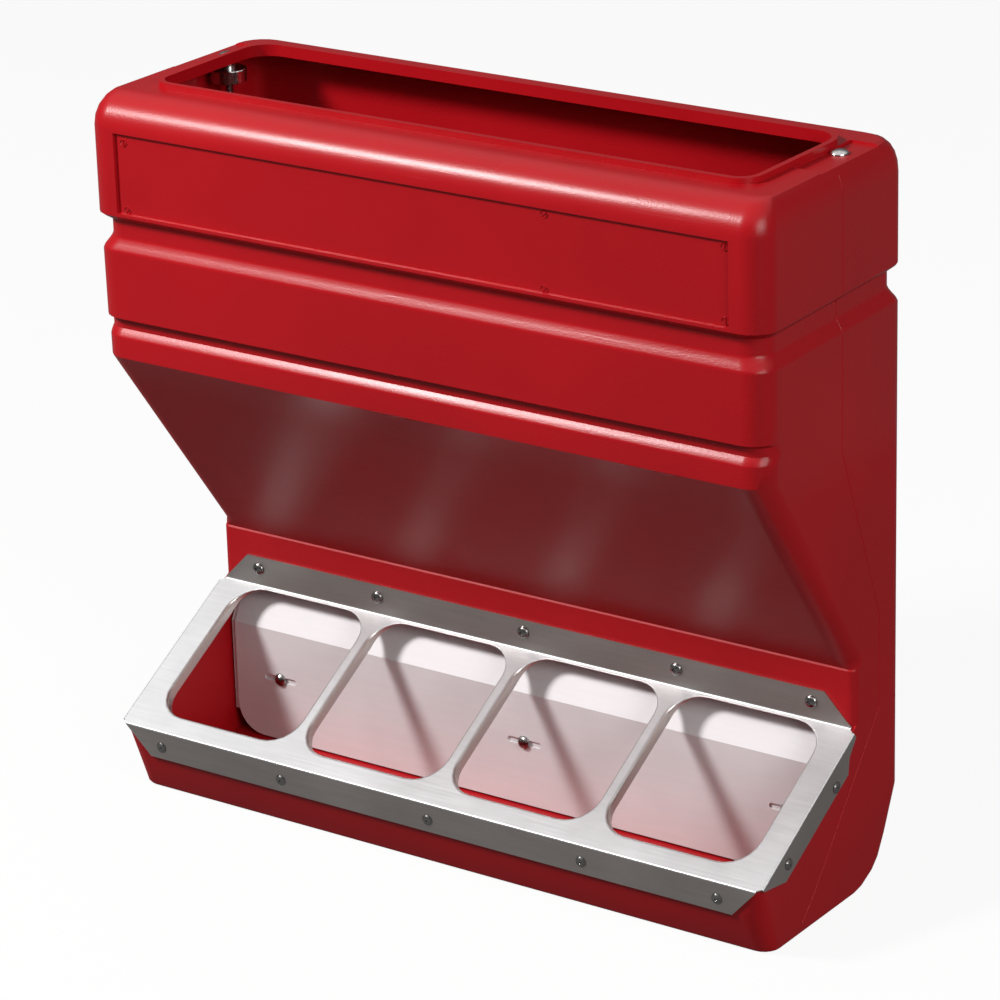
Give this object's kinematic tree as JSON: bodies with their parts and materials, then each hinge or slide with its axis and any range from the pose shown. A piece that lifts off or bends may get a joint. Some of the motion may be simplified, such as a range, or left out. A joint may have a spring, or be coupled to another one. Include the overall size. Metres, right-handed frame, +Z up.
{
  "type": "pig nursery feeder",
  "caption": "Moulded hopper feeder for weaned pigs with a steel trough frame, an adjustable feed gate and a sliding agitator plate.",
  "frame": {"origin": "on the floor, under the middle of the feeder's bounding box", "axes": "+X to the right seen from the front; +Y from the trough towards the back; +Z up"},
  "size_m": [0.6084, 0.2121, 0.5856],
  "materials": {
    "red_plastic": "moulded satin",
    "sheet_steel": "mill finish",
    "fastener_steel": "bright"
  },
  "bodies": {
    "feeder": {"frame_bolt_1": "fastener_steel", "frame_bolt_2": "fastener_steel", "frame_bolt_3": "fastener_steel", "frame_bolt_4": "fastener_steel", "frame_bolt_5": "fastener_steel", "frame_nut_1": "fastener_steel", "frame_nut_2": "fastener_steel", "frame_nut_3": "fastener_steel", "frame_nut_4": "fastener_steel", "frame_nut_5": "fastener_steel", "front_rivet_1": "fastener_steel", "front_rivet_2": "fastener_steel", "front_rivet_3": "fastener_steel", "front_rivet_4": "fastener_steel", "front_rivet_5": "fastener_steel", "hopper_shell": "red_plastic", "left_rivet_1": "fastener_steel", "left_rivet_2": "fastener_steel", "right_rivet_1": "fastener_steel", "right_rivet_2": "fastener_steel", "trough_frame": "sheet_steel"},
    "gate": {"feed_gate": "sheet_steel", "left_gate_nut": "fastener_steel", "right_gate_nut": "fastener_steel", "agitator_nut_1": "fastener_steel", "agitator_nut_2": "fastener_steel", "agitator_nut_3": "fastener_steel", "agitator_screw_1": "fastener_steel", "agitator_screw_2": "fastener_steel", "agitator_screw_3": "fastener_steel"},
    "agitator": {"agitator_plate": "sheet_steel"},
    "left_rod": {"left_adjusting_rod": "fastener_steel", "left_adjusting_knob": "fastener_steel", "left_set_screw": "fastener_steel"},
    "right_rod": {"right_adjusting_rod": "fastener_steel", "right_adjusting_knob": "fastener_steel", "right_set_screw": "fastener_steel"}
  },
  "joints": [
    {"name": "left_rod_spin", "type": "hinge", "parent": "feeder", "child": "left_rod", "pos_m": [-0.2785, 0.0449, 0.579], "axis": [0, 0, 1], "range_deg": [-3402, 284]},
    {"name": "right_rod_spin", "type": "hinge", "parent": "feeder", "child": "right_rod", "pos_m": [0.2785, 0.0449, 0.579], "axis": [0, 0, 1], "range_deg": [-3402, 284]},
    {"name": "gate_slide", "type": "slide", "parent": "feeder", "child": "gate", "axis": [0, 0, 1], "range_m": [-0.001, 0.012]},
    {"name": "agitator_slide", "type": "slide", "parent": "gate", "child": "agitator", "axis": [1, 0, 0], "range_m": [-0.005, 0.005]}
  ],
  "couplings": [
    {"joint": "left_rod_spin", "follows": "gate_slide", "rad_per_m": -4947.4},
    {"joint": "right_rod_spin", "follows": "gate_slide", "rad_per_m": -4947.4}
  ]
}
